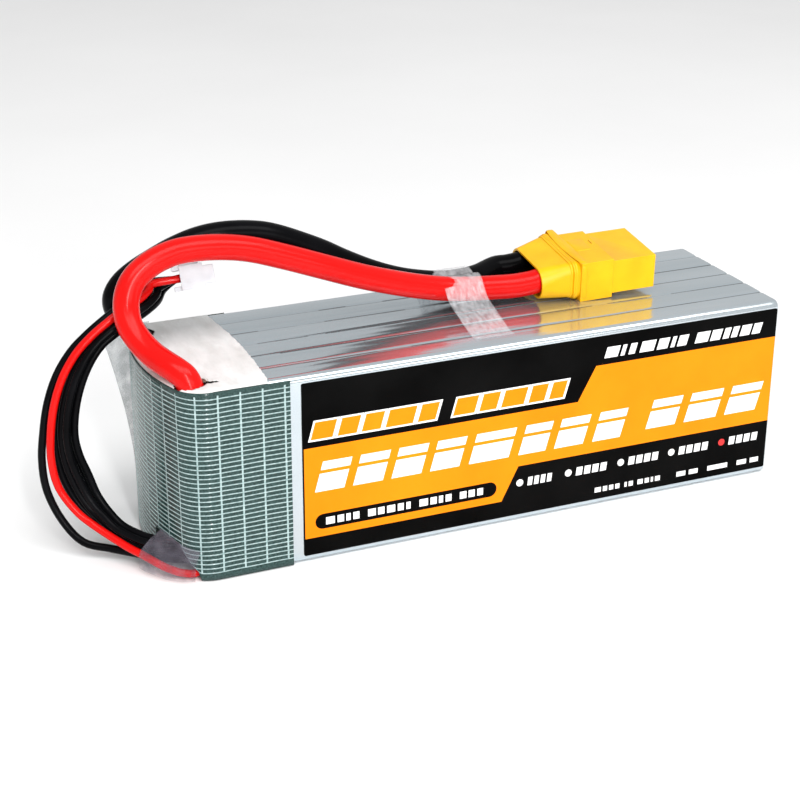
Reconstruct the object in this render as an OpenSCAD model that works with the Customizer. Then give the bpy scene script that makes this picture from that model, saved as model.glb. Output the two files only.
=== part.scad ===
// Six-cell soft battery pack for models: shrink-sleeved pouch cells, a wrapped
// wire end, two power leads with a two-pole connector, and a seven-way balance plug.
// X runs along the pack with the wire end at -X. Y runs across it. Z = 0 is the bottom.

/* [Pack] */
// Length of the pack over the wrapped wire end
pack_l = 144; // [120:1:170]
// Width of the pack over the wrap
pack_w = 43; // [41:0.5:50]
// Height of the pack
pack_h = 43; // [41:0.5:48]
// Thickness of the clear shrink sleeve
sleeve_t = 0.25; // [0.15:0.05:0.3]

/* [Wire end] */
// Radius of the bulging end in plan
bulge_r = 50; // [40:1:80]
// Radius of the upright corners of the wire end
corner_r = 7; // [5:0.5:8]
// Length of the grid tape along the long sides
wrap_len = 26; // [22:1:30]
// Thickness of the grid tape
wrap_t = 0.3; // [0.2:0.05:0.35]
// Thickness of the paper cap under the tape
paper_t = 0.2; // [0.15:0.05:0.25]

/* [Leads] */
// Outside diameter of the power leads
power_d = 5.5; // [5:0.1:5.6]
// Outside diameter of the balance leads
balance_d = 1.7; // [1.2:0.1:1.7]
// Spacing of the pins in the balance plug
balance_pitch = 2.5; // [2.4:0.1:2.6]

/* [Connector] */
// Distance between the two power contacts
contact_pitch = 10.2; // [10:0.1:10.4]
// Bore of the socket contacts
socket_d = 4.5; // [4:0.1:4.5]
// Thickness of the connector collar
collar_t = 9.4; // [9:0.1:10]
// Width of the connector collar
collar_w = 20.6; // [20.2:0.1:21]
// Length of the cover that clips on behind the collar
cover_len = 8.8; // [8:0.2:10]

/* [Hidden] */
$fn = 48;

cell_count = 6;
half_w = pack_w / 2;
end_x = -pack_l / 2;
far_x = pack_l / 2;

// Sleeve, cells and the sheets between them
sleeve_x0 = end_x + 20;
sleeve_half_w = half_w - 0.35;
sleeve_top = pack_h - paper_t;
sleeve_corner_r = 1.6;
cell_x0 = end_x + 24;
cell_x1 = far_x - 0.4;
sheet_t = 0.12;
sheet_h = 36;
cell_room = 2 * (sleeve_half_w - sleeve_t - 0.05);
cell_t = (cell_room - (cell_count - 1) * sheet_t) / cell_count;
cell_pitch = cell_t + sheet_t;
cell_z0 = sleeve_t + 0.05;
cell_z1 = sleeve_top - sleeve_t - 0.05;
cell_edge_r = 1.4;
terrace_len = 7;
terrace_t = 0.5;
tab_w = 10;
tab_t = 0.2;
tab_fold = 2.6;
tab_z = [pack_h / 2 - 7, pack_h / 2 + 12];

// Circuit board that joins the tabs
board_t = 1;
board_x = end_x + 12.8;
board_w = pack_w - 4;
board_h = pack_h - 4;
pad_t = 0.15;

// Middle of the bulge and of the upright corners, in plan
bulge_x = end_x + bulge_r;
corner_y = half_w - corner_r;
corner_x = bulge_x - sqrt(pow(bulge_r - corner_r, 2) - corner_y * corner_y);
tangent_a = atan2(corner_y, bulge_x - corner_x);
wrap_x1 = end_x + wrap_len;
wrap_z0 = 0.2;
wrap_z1 = pack_h - 0.6;

// Power leads: points from the middle of the top edge of the wire end
exit_y = 16.2;
red_route = [
    [6.9, -16, -18], [7, -16, -13], [7.1, -16.1, -8.5], [7, -16.3, -4.6],
    [6.7, -16.3, -1.6], [5.9, -15.5, 0.9], [4.5, -13.8, 2.2], [2.9, -11.3, 3.1],
    [1.2, -8.2, 4.2],
    [-0.4, -5, 6.1], [-1.6, -2.2, 8.8], [-1.5, 0, 12], [-0.5, 1.2, 15],
    [1.5, 2, 17.5], [5, 2.6, 19.7], [9.4, 3, 21.1], [14, 3, 21.5], [20, 3, 21.1],
    [26.5, 3, 19.8], [34.5, 2.6, 17.1], [42.5, 2.2, 14.1], [52.5, 2.2, 10.3],
    [62.5, 2.2, 7.2], [70.5, 2.2, 5.3], [77, 2, 4.4], [82.5, 1.8, 4]
];
black_route = [
    [7, 16, -18], [7.1, 16, -13], [6.9, 16, -8.8], [6.3, 16, -5.2], [5, 15.9, -1.9],
    [3.5, 15.4, 0.8], [1.9, 14.8, 3], [0.5, 14, 5.2], [-0.4, 13.5, 7.6],
    [-0.2, 13.3, 9.9], [1.4, 13.1, 12.3], [4.2, 12.8, 14.5], [7.9, 12.4, 16.6],
    [12.2, 11.5, 18.9], [17.2, 10.5, 20.8], [22.4, 9.7, 21.6], [28.4, 9.2, 21.3],
    [34.1, 9, 19.9], [43.3, 8.8, 15.8], [49.1, 8.6, 12.6], [54.4, 8.4, 9.9],
    [59.6, 8.2, 7.7], [65.1, 7.9, 6], [72, 7.8, 4.6], [77.5, 8.5, 4.1], [82.8, 9.8, 4.1]
];
// How far below the contacts the leads run where they leave the cover
lead_drop = 0.7;
// The way into a solder cup: distance from its mouth, share of that drop
into_cup = [[-9.5, 1], [-6.5, 1], [-4.2, 0.8], [-2.4, 0.3], [-1, 0], [-0.1, 0]];

// Connector: its collar's front face, from the same point
conn_at = [end_x + 110.3, 5.2, pack_h + 5.7];
conn_turn = [5.5, -2, -3.5];
nose_len = 10.8;
nose_w = 19.4;
nose_t = 8;
nose_bevel = 3.4;
collar_len = 7.9;
spigot_len = 3;
cup_end = -13.2;
cover_front = -collar_len - 0.02;
cover_back = cover_front - cover_len;
cover_wall = 0.75;
mouth_w = 17.6;
mouth_t = 7.3;
mouth_wall = 0.45;
contact_r = socket_d / 2 + 0.5;
conductor_r = 1.6;

// Balance plug: the middle of its housing, and its turn
plug_at = [end_x + 18.1, 14.4, 54.4];
plug_turn = [-19.5, -7.5, -14];
plug_len = 7.2;
plug_w = 7 * balance_pitch + 2.3;
plug_t = 5.2;
plug_lip = 1.6;
cavity = 1.9;
contact_len = 5.4;
lead_in = 1.2;

// Balance leads: middle of the bundle, from the bottom edge of the wire end
bundle = [
    [5.6, -13.1, 3.9], [2, -11.8, 4], [-1.3, -9.7, 4.2], [-3.8, -6.8, 4.4],
    [-6.9, -3.1, 5.4], [-9.6, 0, 7.5], [-12.4, 2.4, 11], [-14.7, 3.8, 16.2],
    [-15.9, 4.4, 21.6], [-16, 4.7, 27], [-15, 5, 33], [-13.1, 5.1, 38.6],
    [-10.4, 5.2, 43.3], [-7.2, 5.4, 46.7], [-3.8, 5.5, 49.1], [-0.4, 6, 51],
    [3.2, 7.7, 52], [6.7, 11.3, 52.5], [9.1, 15.1, 53]
];
// The direction along which the bundle lies flat
sight = [0.27, 0.9, -0.33];
// How far the bundle has fanned out at each of those points, from 0 to 1
fan = [0, 0, 0, 0, 0.05, 0.3, 0.65, 0.95, 0.75, 0.5, 0.4, 0.3, 0.15, 0, 0, 0, 0, 0, 0];
// How far the leads have spread towards their cavities in the plug
spread = [0, 0, 0, 0, 0, 0, 0, 0, 0, 0, 0, 0, 0, 0, 0, 0, 0.1, 0.45, 0.9];
// Place of each lead across the bundle, [outward, sideways]: packed, then fanned
packed = [
    [0.94, -1.65], [-0.94, -1.65], [1.88, 0], [0, 0], [-1.88, 0], [0.94, 1.65], [-0.94, 1.65]
];
fanned = [
    [2.9, -0.9], [-1.9, -1.3], [5.3, 0], [-0.4, 0], [-4, 0], [1.4, 1.3], [-2.2, 1.5]
];
// How much further out the third lead bows
outer_bow = [0, 0, 0, 0.4, 1.5, 3, 1.8, 0.3, 0, 0, 0, 0, 0, 0, 0, 0, 0, 0, 0];
// The first lead leaves lower down, round the front corner
corner_exit = [
    [8.4, -17, 2.8], [5.6, -18.4, 1.2], [2.8, -17.6, 1.2], [0.3, -16, 1.9],
    [-1.9, -13.9, 2.8], [-4, -10.8, 3.6], [-6.6, -7.2, 4.5]
];
corner_exit_joins = 5;
// Middle of their solder joints on the board, and how far apart those are
joint_at = [board_x - 0.6, -13, 5.1];
joint_spread = 1.3;
lead_sides = 8;

red = [0.9, 0.08, 0.06];
black = [0.04, 0.04, 0.045];
yellow = [0.97, 0.74, 0.1];

// ---- shared shapes ----

function arc(cx, cy, r, a0, a1, n) =
    [for (i = [0:n]) let (a = a0 + (a1 - a0) * i / n) [cx + r * cos(a), cy + r * sin(a)]];

// The wire end in plan, from the front side round the bulge to the back side
function end_curve(inset) = concat(
    arc(corner_x, -corner_y, corner_r - inset, 270, 180 + tangent_a, 8),
    arc(bulge_x, 0, bulge_r - inset, 180 + tangent_a, 180 - tangent_a, 16),
    arc(corner_x, corner_y, corner_r - inset, 180 - tangent_a, 90, 8)
);

module end_plan(inset, x1) {
    polygon(concat(
        [[x1, -half_w + inset]],
        end_curve(inset),
        [[x1, half_w - inset]]
    ));
}

module end_block(inset, x1, z0, z1) {
    translate([0, 0, z0])
        linear_extrude(z1 - z0)
            end_plan(inset, x1);
}

module rounded_rect(w, h, r) {
    translate([-w / 2 + r, -h / 2])
        square([w - 2 * r, h]);
    translate([-w / 2, -h / 2 + r])
        square([w, h - 2 * r]);
    for (x = [-1, 1])
        for (y = [-1, 1])
            translate([x * (w / 2 - r), y * (h / 2 - r)])
                circle(r);
}

// A shape drawn across the pack, pulled along +X from x0
module along_x(x0, len, y = 0, z = 0) {
    translate([x0, y, z])
        rotate([90, 0, 90])
            linear_extrude(len)
                children();
}

// Points between four neighbours on a smooth curve
function between(a, b, c, d, t) =
    0.5 * (2 * b + (c - a) * t + (2 * a - 5 * b + 4 * c - d) * t * t
        + (3 * b - a - 3 * c + d) * t * t * t);

function smooth(p, n) = concat(
    [for (i = [0:len(p) - 2]) for (k = [0:n - 1])
        between(p[max(i - 1, 0)], p[i], p[i + 1], p[min(i + 2, len(p) - 1)], k / n)],
    [p[len(p) - 1]]
);

function unit(v) = v / norm(v);

function heading(p, i) = unit(p[min(i + 1, len(p) - 1)] - p[max(i - 1, 0)]);

function ring(at, along, r, sides) =
    let (u = unit(cross(along, [0.12, 1, 0.05])), v = cross(along, u))
    [for (k = [0:sides - 1]) at + r * (cos(360 * k / sides) * u + sin(360 * k / sides) * v)];

module tube(p, r, sides) {
    n = len(p);
    rings = [for (i = [0:n - 1]) each ring(p[i], heading(p, i), r, sides)];
    walls = [
        for (i = [0:n - 2]) for (k = [0:sides - 1])
            let (a = i * sides + k, b = i * sides + (k + 1) % sides)
                each [[a, a + sides, b + sides], [a, b + sides, b]]
    ];
    first = [for (k = [0:sides - 1]) k];
    last = [for (k = [0:sides - 1]) n * sides - 1 - k];
    polyhedron(rings, concat(walls, [first, last]), convexity = 6);
}

module at_connector() {
    translate(conn_at)
        rotate(conn_turn)
            children();
}

module at_plug() {
    translate(plug_at)
        rotate(plug_turn)
            children();
}

// The point that a turned frame gives a local point
function turned(v, a) =
    let (
        x1 = v[0],
        y1 = v[1] * cos(a[0]) - v[2] * sin(a[0]),
        z1 = v[1] * sin(a[0]) + v[2] * cos(a[0]),
        x2 = x1 * cos(a[1]) + z1 * sin(a[1]),
        z2 = z1 * cos(a[1]) - x1 * sin(a[1])
    )
    [x2 * cos(a[2]) - y1 * sin(a[2]), x2 * sin(a[2]) + y1 * cos(a[2]), z2];

// ---- cells and their joints ----

function cell_y(i) = (i - (cell_count - 1) / 2) * cell_pitch;

module cell(i) {
    mid_z = (cell_z0 + cell_z1) / 2;
    high = cell_z1 - cell_z0;
    color([0.78, 0.8, 0.82]) {
        along_x(cell_x0, cell_x1 - cell_x0, cell_y(i), mid_z)
            rounded_rect(cell_t, high, cell_edge_r);
        along_x(cell_x0 - terrace_len, terrace_len + 1, cell_y(i), mid_z)
            square([terrace_t, high - 3], center = true);
    }
}

module adhesive_sheets() {
    color([0.9, 0.88, 0.75])
        for (i = [0:cell_count - 2])
            translate([
                cell_x0 + 4,
                cell_y(i) + cell_t / 2,
                (pack_h - sheet_h) / 2
            ])
                cube([cell_x1 - cell_x0 - 8, sheet_t, sheet_h]);
}

// One tab: straight out of the terrace, through the board and folded flat on it
module tab(i, level) {
    face = board_x - pad_t;
    start = cell_x0 - terrace_len;
    translate([0, cell_y(i), tab_z[level] - tab_w / 2])
        mirror([0, i % 2, 0])
            linear_extrude(tab_w)
                polygon([
                    [start, -tab_t / 2], [start, tab_t / 2],
                    [face, tab_t / 2], [face, tab_fold],
                    [face - tab_t, tab_fold], [face - tab_t, -tab_t / 2]
                ]);
}

module tabs(metal) {
    for (i = [0:cell_count - 1])
        tab(i, (i + metal) % 2);
}

module tabs_aluminium() {
    color([0.82, 0.83, 0.85])
        tabs(0);
}

module tabs_nickel() {
    color([0.72, 0.7, 0.62])
        tabs(1);
}

module balance_board() {
    color([0.12, 0.32, 0.16])
        difference() {
            translate([board_x, -board_w / 2, (pack_h - board_h) / 2])
                cube([board_t, board_w, board_h]);
            for (i = [0:cell_count - 1])
                for (z = tab_z)
                    translate([board_x - 1, cell_y(i) - 0.45, z - tab_w / 2 - 0.3])
                        cube([board_t + 2, 0.9, tab_w + 0.6]);
        }
}

// Copper areas on the board, one under each folded tab
module link_pads() {
    color([0.78, 0.5, 0.25])
        for (i = [0:cell_count - 1])
            for (z = tab_z) {
                side = (i % 2 == 0) ? 1 : -1;
                translate([board_x - pad_t, cell_y(i) + side * 1.6 - 1, z - tab_w / 2])
                    cube([pad_t, 2, tab_w]);
            }
}

// Solder: two large joints for the power leads and a row for the balance leads
module solder_joints() {
    color([0.75, 0.76, 0.78]) {
        for (y = [-exit_y, exit_y])
            translate([board_x - 2.9, y - 1.6, pack_h / 2])
                cube([2.9, 3.2, 5.2]);
        for (i = [0:6])
            translate(board_joint(i))
                rotate([0, 90, 0])
                    cylinder(h = 0.6, r = 0.8);
    }
}

// ---- wire end ----

module lead_hole(side, grow) {
    translate([end_x + 6.5, side * exit_y, pack_h - 2])
        cylinder(h = 4, r = power_d / 2 + grow);
}

// Notch at the top of the back corner, where the black lead leans out
module corner_notch(grow) {
    translate([end_x + 7.8, exit_y - 0.4, pack_h - 8])
        rotate([0, -27, 0])
            cylinder(h = 14, r = power_d / 2 + grow);
}

module end_pad() {
    color([0.25, 0.25, 0.26])
        difference() {
            end_block(0.7 + paper_t, board_x - 1.6, 9.4, pack_h - 1.2);
            for (side = [-1, 1])
                translate([end_x, side * (exit_y + 4) - 8, 14])
                    cube([pack_l, 16, pack_h]);
        }
}

// Slot low in the wire end that the balance leads come out through
module lead_slot() {
    translate([end_x - 1, 0, 0])
        rotate([90, 0, 90])
            linear_extrude(9)
                polygon([
                    [-half_w + 1.2, -1], [-half_w + 1.2, 2], [-16.5, 7.4], [-6, 7.4], [-6, -1]
                ]);
}

// Crepe paper folded over the wire end: top leaf, end wall and bottom leaf
module paper_cap() {
    leaf_x1 = end_x + 23;
    bow_r = 180;
    color([0.93, 0.94, 0.93])
        difference() {
            union() {
                intersection() {
                    end_block(wrap_t + 0.05, leaf_x1 + 5, sleeve_top, pack_h);
                    translate([leaf_x1 - bow_r, 0, 0])
                        cylinder(h = pack_h + 1, r = bow_r, $fn = 180);
                }
                end_block(wrap_t + 0.05, sleeve_x0 - 0.1, 0, sleeve_top);
            }
            end_block(wrap_t + 0.05 + paper_t, sleeve_x0 + 5, paper_t, sleeve_top);
            for (side = [-1, 1])
                lead_hole(side, 0.5);
            corner_notch(0.4);
            lead_slot();
        }
}

module end_wrap() {
    color([0.22, 0.34, 0.32])
        difference() {
            end_block(0, wrap_x1, wrap_z0, wrap_z1);
            end_block(wrap_t, wrap_x1 + 1, wrap_z0 - 1, wrap_z1 + 1);
            corner_notch(0.4);
            lead_slot();
        }
}

// A thin sheet through a grid of points, given thickness by one push
module film_sheet(grid, push) {
    rows = len(grid);
    cols = len(grid[0]);
    count = rows * cols;
    flat = [for (row = grid) for (p = row) p];
    quads = [for (r = [0:rows - 2]) for (c = [0:cols - 2])
        let (a = r * cols + c) [a, a + 1, a + cols + 1, a + cols]];
    edge = concat(
        [for (c = [0:cols - 1]) c],
        [for (r = [1:rows - 1]) r * cols + cols - 1],
        [for (c = [cols - 2:-1:0]) (rows - 1) * cols + c],
        [for (r = [rows - 2:-1:1]) r * cols]
    );
    rim = len(edge);
    faces = concat(
        [for (q = quads) each [[q[0], q[1], q[2]], [q[0], q[2], q[3]]]],
        [for (q = quads) each [
            [q[2] + count, q[1] + count, q[0] + count],
            [q[3] + count, q[2] + count, q[0] + count]
        ]],
        [for (k = [0:rim - 1])
            let (a = edge[k], b = edge[(k + 1) % rim])
            each [[b, a, a + count], [b, a + count, b + count]]]
    );
    polyhedron(concat(flat, [for (p = flat) p + push]), faces, convexity = 4);
}

// How far the film round the back corner stands off at height z
function flare(z) = 5.2 * pow(max(0, (z - 10) / 30), 1.5);

// Clear film round the back corner of the wire end, over the grid tape
module corner_film() {
    levels = [0.4, 6, 12, 17, 21, 25, 29, 33, 37, 40, pack_h - 0.1];
    angles = [150, 142, 134, 126, 118, 110, 102, 95];
    film_r = corner_r + 0.35;
    color([0.8, 0.84, 0.85, 0.5])
        film_sheet(
            [for (z = levels) [for (a = angles)
                [
                    corner_x + film_r * cos(a) - flare(z) * pow(min(1, (a - 95) / 35), 1.3),
                    corner_y + film_r * sin(a),
                    z
                ]
            ]],
            [0.14, -0.14, 0]
        );
}

// Clear film that holds the balance leads down where they come out
module exit_film() {
    top = [[6.1, -20.9, 7.4], [3.6, -19, 8], [2.2, -16.3, 8.5], [1.4, -13.2, 8.9], [0.7, -10.4, 8.8]];
    middle = [[4.9, -20.9, 4], [1.6, -19, 4.4], [-0.9, -16.9, 4.8], [-2.6, -14.2, 5], [-4, -11.2, 5.2]];
    low = [[4.6, -20.8, 0.6], [1.7, -19.4, 0.5], [-0.8, -17.4, 0.6], [-2.8, -15, 0.9], [-4.9, -12, 1.4]];
    color([0.6, 0.65, 0.68, 0.5])
        translate([end_x - 0.3, -0.35, 0])
            film_sheet([top, middle, low], [0.12, 0.14, 0]);
}

module shrink_sleeve() {
    mid_z = sleeve_top / 2;
    wide = 2 * sleeve_half_w;
    long = far_x - sleeve_x0;
    color([0.74, 0.77, 0.8])
        difference() {
            along_x(sleeve_x0, long, 0, mid_z)
                rounded_rect(wide, sleeve_top, sleeve_corner_r);
            along_x(sleeve_x0 - 1, long - sleeve_t + 1, 0, mid_z)
                rounded_rect(wide - 2 * sleeve_t, sleeve_top - 2 * sleeve_t, sleeve_corner_r - sleeve_t);
            along_x(sleeve_x0 + 1, long, 0, mid_z)
                rounded_rect(wide - 12, sleeve_top - 12, 3);
        }
}

module front_label() {
    label_t = 0.15;
    label_x0 = wrap_x1 + 2.4;
    label_z0 = sleeve_corner_r;
    color([0.95, 0.56, 0.12])
        translate([label_x0, -sleeve_half_w - label_t, label_z0])
            cube([far_x - 0.4 - label_x0, label_t, sleeve_top - 2 * label_z0]);
}

// Clear tape over both leads, stuck to the top of the pack on both sides
module lead_strap() {
    film_t = 0.2;
    strap_w = 9.4;
    gap = 0.15;
    mid = [end_x + 74.7, 5, pack_h + 4.7];
    half_span = power_d / 2 + 3.1;
    rise = mid[2] - sleeve_top + film_t;
    color([0.9, 0.9, 0.92, 0.5])
        translate([mid[0] - strap_w / 2, 0, 0])
            rotate([90, 0, 90])
                linear_extrude(strap_w)
                    difference() {
                        strap_outline(mid[1], mid[2], power_d / 2 + gap + film_t, half_span, 0);
                        strap_outline(mid[1], mid[2], power_d / 2 + gap, half_span, film_t);
                    }
}

// Area under the strap: two round shoulders with slopes down to the sleeve
module strap_outline(y, z, r, half_span, foot) {
    low = sleeve_top + foot;
    front = y - half_span;
    back = y + half_span;
    translate([y - 2.9, z])
        circle(r);
    translate([y + 2.9, z])
        circle(r);
    polygon([
        [front - 15.6 + foot, low], [back + 5 - foot, low],
        [y + 2.9 + r, z], [y + 2.9, z + r], [y - 2.9, z + r], [y - 2.9 - r, z]
    ]);
}

// ---- power leads and connector ----

// The route, then a straight stretch through the cover to the solder cup
function power_path(route, side) = concat(
    [for (p = route) p + [end_x, 0, pack_h]],
    [for (p = into_cup)
        conn_at + turned([cup_end + p[0], side * contact_pitch / 2, -lead_drop * p[1]], conn_turn)]
);

module power_lead_red() {
    color(red)
        tube(smooth(power_path(red_route, -1), 2), power_d / 2, 12);
}

module power_lead_black() {
    color(black)
        tube(smooth(power_path(black_route, 1), 2), power_d / 2, 12);
}

module each_contact() {
    for (side = [-1, 1])
        translate([0, side * contact_pitch / 2, 0])
            rotate([0, 90, 0])
                children();
}

module lead_conductors() {
    color([0.72, 0.45, 0.3])
        at_connector()
            each_contact()
                translate([0, 0, cup_end])
                    cylinder(h = 4.6, r = conductor_r);
}

module cup_solder() {
    color([0.75, 0.76, 0.78])
        at_connector()
            each_contact()
                translate([0, 0, cup_end + 0.4])
                    difference() {
                        cylinder(h = 4, r = conductor_r + 0.25);
                        translate([0, 0, -1])
                            cylinder(h = 6, r = conductor_r + 0.05);
                    }
}

// One gold contact: socket towards the nose, solder cup towards the lead
module contact(side) {
    socket_depth = 11;
    front = nose_len - 0.8;
    color([0.86, 0.68, 0.3])
        at_connector()
            translate([0, side * contact_pitch / 2, 0])
                rotate([0, 90, 0])
                    difference() {
                        translate([0, 0, cup_end + 0.3])
                            cylinder(h = front - cup_end - 0.3, r = contact_r);
                        translate([0, 0, front - socket_depth])
                            cylinder(h = socket_depth + 1, r = socket_d / 2);
                        translate([0, 0, cup_end - 1])
                            cylinder(h = 6, r = conductor_r + 0.3);
                    }
}

module socket_plus() {
    contact(-1);
}

module socket_minus() {
    contact(1);
}

// Outline of the connector: square on the plus side, bevelled on the minus side
module bevelled(w, t, bevel) {
    polygon([
        [-w / 2, -t / 2], [w / 2 - bevel, -t / 2], [w / 2, -t / 2 + bevel * 0.7],
        [w / 2, t / 2 - bevel * 0.7], [w / 2 - bevel, t / 2], [-w / 2, t / 2]
    ]);
}

module connector_housing() {
    color(yellow)
        at_connector()
            difference() {
                union() {
                    along_x(0, nose_len)
                        bevelled(nose_w, nose_t, nose_bevel);
                    along_x(-collar_len, collar_len)
                        bevelled(collar_w, collar_t, nose_bevel + 0.4);
                    along_x(-collar_len - spigot_len, spigot_len + 1)
                        rounded_rect(16.2, 6.2, 3);
                }
                each_contact()
                    translate([0, 0, -collar_len - spigot_len - 1])
                        cylinder(h = nose_len + collar_len + spigot_len + 2, r = contact_r + 0.03);
            }
}

module slab(x, w, t, r, thick = 0.02) {
    along_x(x, thick)
        rounded_rect(w, t, r);
}

// Clip-on cover: tapered shell round the solder cups, open at both ends
module connector_cover() {
    lip = 1.6;
    step = 0.02;
    color(yellow)
        at_connector()
            difference() {
                union() {
                    along_x(cover_front - lip, lip)
                        rounded_rect(collar_w - 0.6, collar_t - 0.5, 2.4);
                    hull() {
                        slab(cover_front - lip, collar_w - 1.4, collar_t - 0.9, 2.2);
                        translate([0, 0, -lead_drop])
                            slab(cover_back, mouth_w, mouth_t, 3.5);
                    }
                }
                hull() {
                    slab(cover_front + step, collar_w - 1.4 - 2 * cover_wall, 7.8, 3.4);
                    translate([0, 0, -lead_drop])
                        slab(cover_back - step, mouth_w - 2 * mouth_wall, mouth_t - 2 * mouth_wall, 3.1);
                }
            }
}

// ---- balance leads and plug ----

function board_joint(i) = joint_at + joint_spread * [0, packed[i][1], -packed[i][0]];

// Where lead i lies at point k of the bundle
function lead_at(i, k) =
    let (
        out = unit(cross(heading(bundle, k), sight)),
        side = unit(cross(heading(bundle, k), out)),
        bow = [i == 2 ? outer_bow[k] : 0, 0],
        place = packed[i] * (1 - fan[k]) + fanned[i] * fan[k] + bow,
        row = turned([0, (i - 3) * balance_pitch, 0], plug_turn)
    )
    [end_x, 0, 0] + bundle[k] + out * place[0] * (1 - pow(spread[k], 18))
        - side * place[1] * (1 - spread[k]) + row * spread[k];

// The whole way of lead i, from the board to the plug
function lead_path(i) = concat(
    [board_joint(i) - [0.05, 0, 0], board_joint(i) - [2, 0, 0]],
    i == 0 ? [for (p = corner_exit) [end_x, 0, 0] + p] : [],
    [for (k = [i == 0 ? corner_exit_joins : 0:len(bundle) - 1]) lead_at(i, k)],
    [plug_point(i, -1.2), plug_point(i, lead_in - 0.05)]
);

// A point on the axis of cavity i, a little way behind or inside the plug's wire face
function plug_point(i, inside) =
    plug_at + turned([-plug_len / 2 + inside, (i - 3) * balance_pitch, 0], plug_turn);

module balance_lead(i) {
    color(i == 0 ? red : black)
        tube(smooth(lead_path(i), 2), balance_d / 2, lead_sides);
}

module balance_plug() {
    color([0.95, 0.95, 0.93])
        at_plug()
            difference() {
                union() {
                    cube([plug_len, plug_w, plug_t - 1.4], center = true);
                    translate([-plug_len / 2, -plug_w / 2, -plug_t / 2])
                        cube([plug_len - 2.2, plug_w, plug_t]);
                    for (side = [-1, 1])
                        translate([-plug_len / 2, side * (plug_w / 2 - 1.1) - 0.6, plug_t / 2 - 0.2])
                            cube([plug_len - 3, 1.2, 0.6]);
                    for (side = [-1, 1])
                        translate([
                            -plug_len / 2 - plug_lip,
                            -plug_w / 2 + 0.5,
                            side * (plug_t / 2 - 0.45) - 0.45
                        ])
                            cube([plug_lip + 0.5, plug_w - 1, 0.9]);
                }
                for (i = [0:6])
                    translate([0, (i - 3) * balance_pitch, 0]) {
                        cube([plug_len + 2, cavity, cavity], center = true);
                        translate([-1.4, 0, plug_t / 2 - 0.8])
                            cube([2.4, 1.4, 2.2], center = true);
                    }
            }
}

module balance_contact(i) {
    start = -plug_len / 2 + lead_in;
    color([0.8, 0.8, 0.76])
        at_plug()
            translate([start + contact_len / 2, (i - 3) * balance_pitch, 0])
                difference() {
                    cube([contact_len, 1.7, 1.7], center = true);
                    translate([1.6, 0, 0])
                        cube([contact_len, 0.9, 1.1], center = true);
                }
}

cell(0);  // cell_1
cell(1);  // cell_2
cell(2);  // cell_3
cell(3);  // cell_4
cell(4);  // cell_5
cell(5);  // cell_6
adhesive_sheets();
tabs_aluminium();
tabs_nickel();
balance_board();
link_pads();
solder_joints();
end_pad();
paper_cap();
end_wrap();
corner_film();
exit_film();
shrink_sleeve();
front_label();
lead_strap();
power_lead_red();
power_lead_black();
lead_conductors();
cup_solder();
socket_plus();
socket_minus();
connector_housing();
connector_cover();
for (i = [0:6]) {
    balance_lead(i);
    balance_contact(i);
}
balance_plug();
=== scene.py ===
# Looks of the soft battery pack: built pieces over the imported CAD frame.
# Sizes are in millimetres and MM turns them into metres.

import math

import bmesh
import bpy
from mathutils import Matrix, Vector, noise


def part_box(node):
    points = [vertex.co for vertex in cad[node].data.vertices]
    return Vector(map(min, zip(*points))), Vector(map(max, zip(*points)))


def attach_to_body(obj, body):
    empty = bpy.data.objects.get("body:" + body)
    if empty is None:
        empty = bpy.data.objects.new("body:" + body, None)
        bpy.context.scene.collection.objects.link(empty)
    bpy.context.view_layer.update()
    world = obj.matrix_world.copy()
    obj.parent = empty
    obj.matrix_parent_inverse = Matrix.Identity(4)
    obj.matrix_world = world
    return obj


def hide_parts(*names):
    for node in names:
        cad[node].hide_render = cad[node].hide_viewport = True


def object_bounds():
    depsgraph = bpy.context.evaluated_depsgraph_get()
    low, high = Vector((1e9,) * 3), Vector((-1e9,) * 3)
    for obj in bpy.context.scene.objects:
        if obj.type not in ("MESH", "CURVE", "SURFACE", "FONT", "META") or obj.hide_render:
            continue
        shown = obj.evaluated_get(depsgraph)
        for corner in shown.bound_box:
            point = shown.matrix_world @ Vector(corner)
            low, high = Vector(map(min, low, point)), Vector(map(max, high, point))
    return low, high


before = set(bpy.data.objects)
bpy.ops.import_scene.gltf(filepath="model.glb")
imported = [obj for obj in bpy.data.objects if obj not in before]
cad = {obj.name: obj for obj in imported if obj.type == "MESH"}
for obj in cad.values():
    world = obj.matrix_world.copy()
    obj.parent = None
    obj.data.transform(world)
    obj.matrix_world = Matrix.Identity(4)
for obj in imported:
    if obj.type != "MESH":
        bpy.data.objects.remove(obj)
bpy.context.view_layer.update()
MM = 0.001

# ---- sizes read from the frame ----

pack_low, pack_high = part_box("end_wrap")
END_X = pack_low.x / MM
HALF_W = pack_high.y / MM
PACK_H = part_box("paper_cap")[1].z / MM
WRAP_X1 = pack_high.x / MM
WRAP_Z0 = pack_low.z / MM
WRAP_Z1 = pack_high.z / MM
SLEEVE_X0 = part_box("shrink_sleeve")[0].x / MM
FAR_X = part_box("shrink_sleeve")[1].x / MM
SLEEVE_HALF_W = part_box("shrink_sleeve")[1].y / MM
SLEEVE_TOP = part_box("shrink_sleeve")[1].z / MM
LABEL_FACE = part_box("front_label")[0].y / MM
CELL_PITCH = (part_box("cell_2")[0].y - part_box("cell_1")[0].y) / MM
BULGE_R = 50
CORNER_R = 7

# ---- camera ----

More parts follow.
